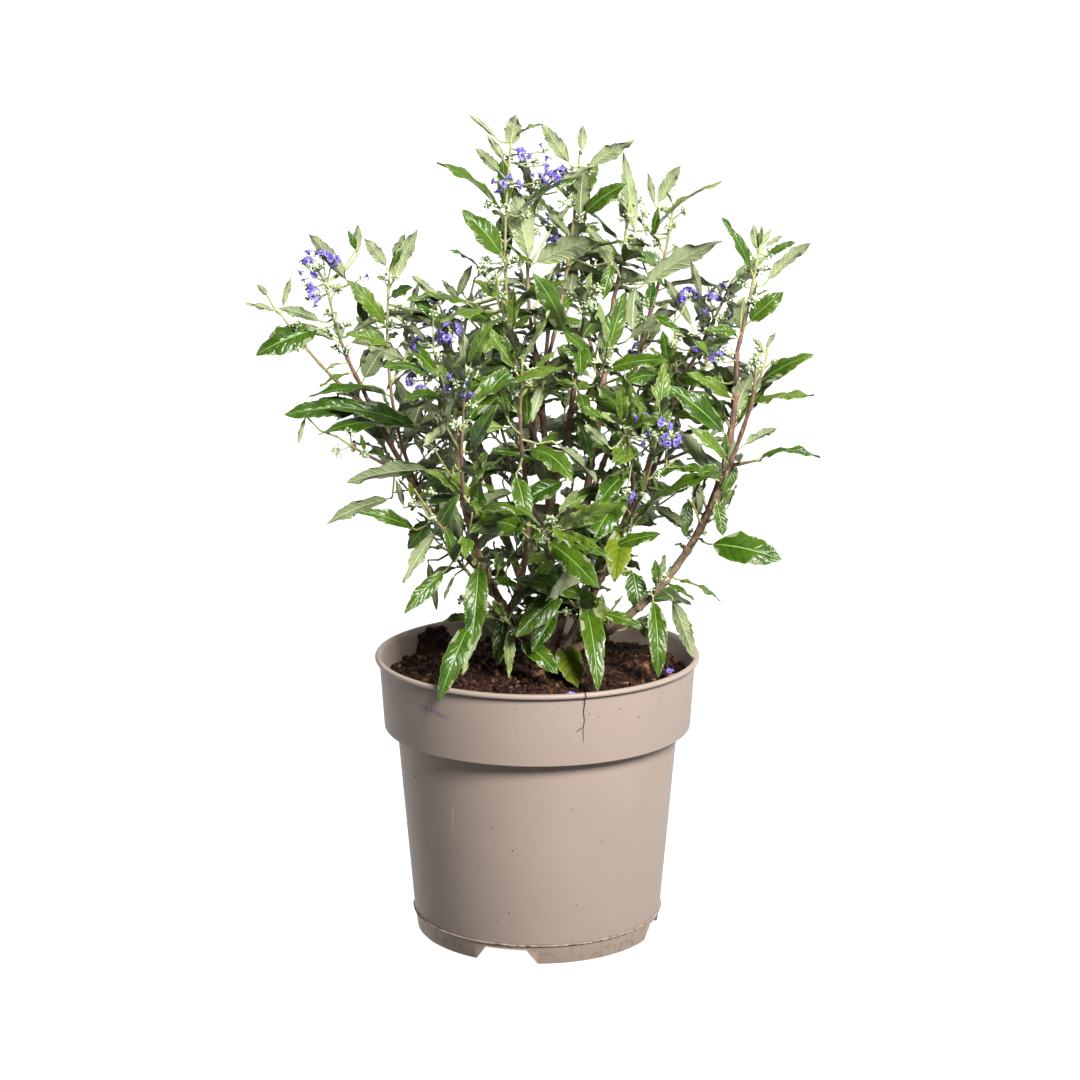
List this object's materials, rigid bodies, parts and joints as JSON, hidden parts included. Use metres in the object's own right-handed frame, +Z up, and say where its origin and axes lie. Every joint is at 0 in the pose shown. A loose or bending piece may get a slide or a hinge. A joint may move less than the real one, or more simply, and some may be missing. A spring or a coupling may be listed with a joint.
{
  "type": "potted caryopteris shrub",
  "caption": "Bushy blue-flowered caryopteris shrub with toothed grey-green leaves, rooted in peat in a taupe plastic nursery pot.",
  "frame": {"origin": "on the pot's axis, at the level of the surface that the foot ring stands on", "axes": "+Z up along the pot's axis; -Y towards the side that the picture shows; +X to the right of that view"},
  "size_m": [0.3249, 0.2287, 0.4807],
  "materials": {
    "pot_plastic": "matte",
    "peat": "matte",
    "bark": "matte",
    "foliage": "satin",
    "shoots": "matte",
    "buds": "matte",
    "blossom": "matte"
  },
  "bodies": {
    "root": {"pot": "pot_plastic", "soil": "peat", "trunk": "bark", "bough_centre": "bark", "bough_left": "bark", "bough_right": "bark", "bough_right_inner": "bark", "bough_right_behind": "bark", "bough_back": "bark", "bough_back_left": "bark", "bough_front": "bark", "bough_far_left": "bark", "bough_centre_right": "bark", "bough_right_low": "bark", "bough_back_right": "bark", "bough_back_centre": "bark", "bough_side_back": "bark", "spray_crown_left": "foliage", "spray_crown_centre": "foliage", "spray_crown_right": "foliage", "spray_upper_left": "foliage", "spray_heart": "foliage", "spray_bud_head": "foliage", "spray_heart_right": "foliage", "spray_front": "foliage", "spray_front_low": "foliage", "spray_left": "foliage", "spray_left_front": "foliage", "spray_left_low": "foliage", "spray_left_rim": "foliage", "spray_left_side": "foliage", "spray_foot_left": "foliage", "spray_far_left": "foliage", "spray_far_left_tip": "foliage", "spray_far_left_low": "foliage", "spray_left_tall": "foliage", "spray_left_back": "foliage", "spray_right": "foliage", "spray_right_side": "foliage", "spray_right_low": "foliage", "spray_right_outer": "foliage", "spray_right_rim": "foliage", "spray_foot_front": "foliage", "spray_right_foot": "foliage", "spray_right_front": "foliage", "spray_right_heart": "foliage", "spray_behind_right": "foliage", "spray_behind_inner": "foliage", "spray_tall_back": "foliage", "spray_back_heart": "foliage", "spray_back_right": "foliage", "spray_back_right_low": "foliage", "spray_side_back": "foliage", "spray_side_back_low": "foliage", "spray_back_left": "foliage", "spray_back_left_low": "foliage", "spray_back_left_inner": "foliage", "spray_back_centre": "foliage", "spray_back_low": "foliage", "spray_back_rim": "foliage"}
  },
  "joints": []
}
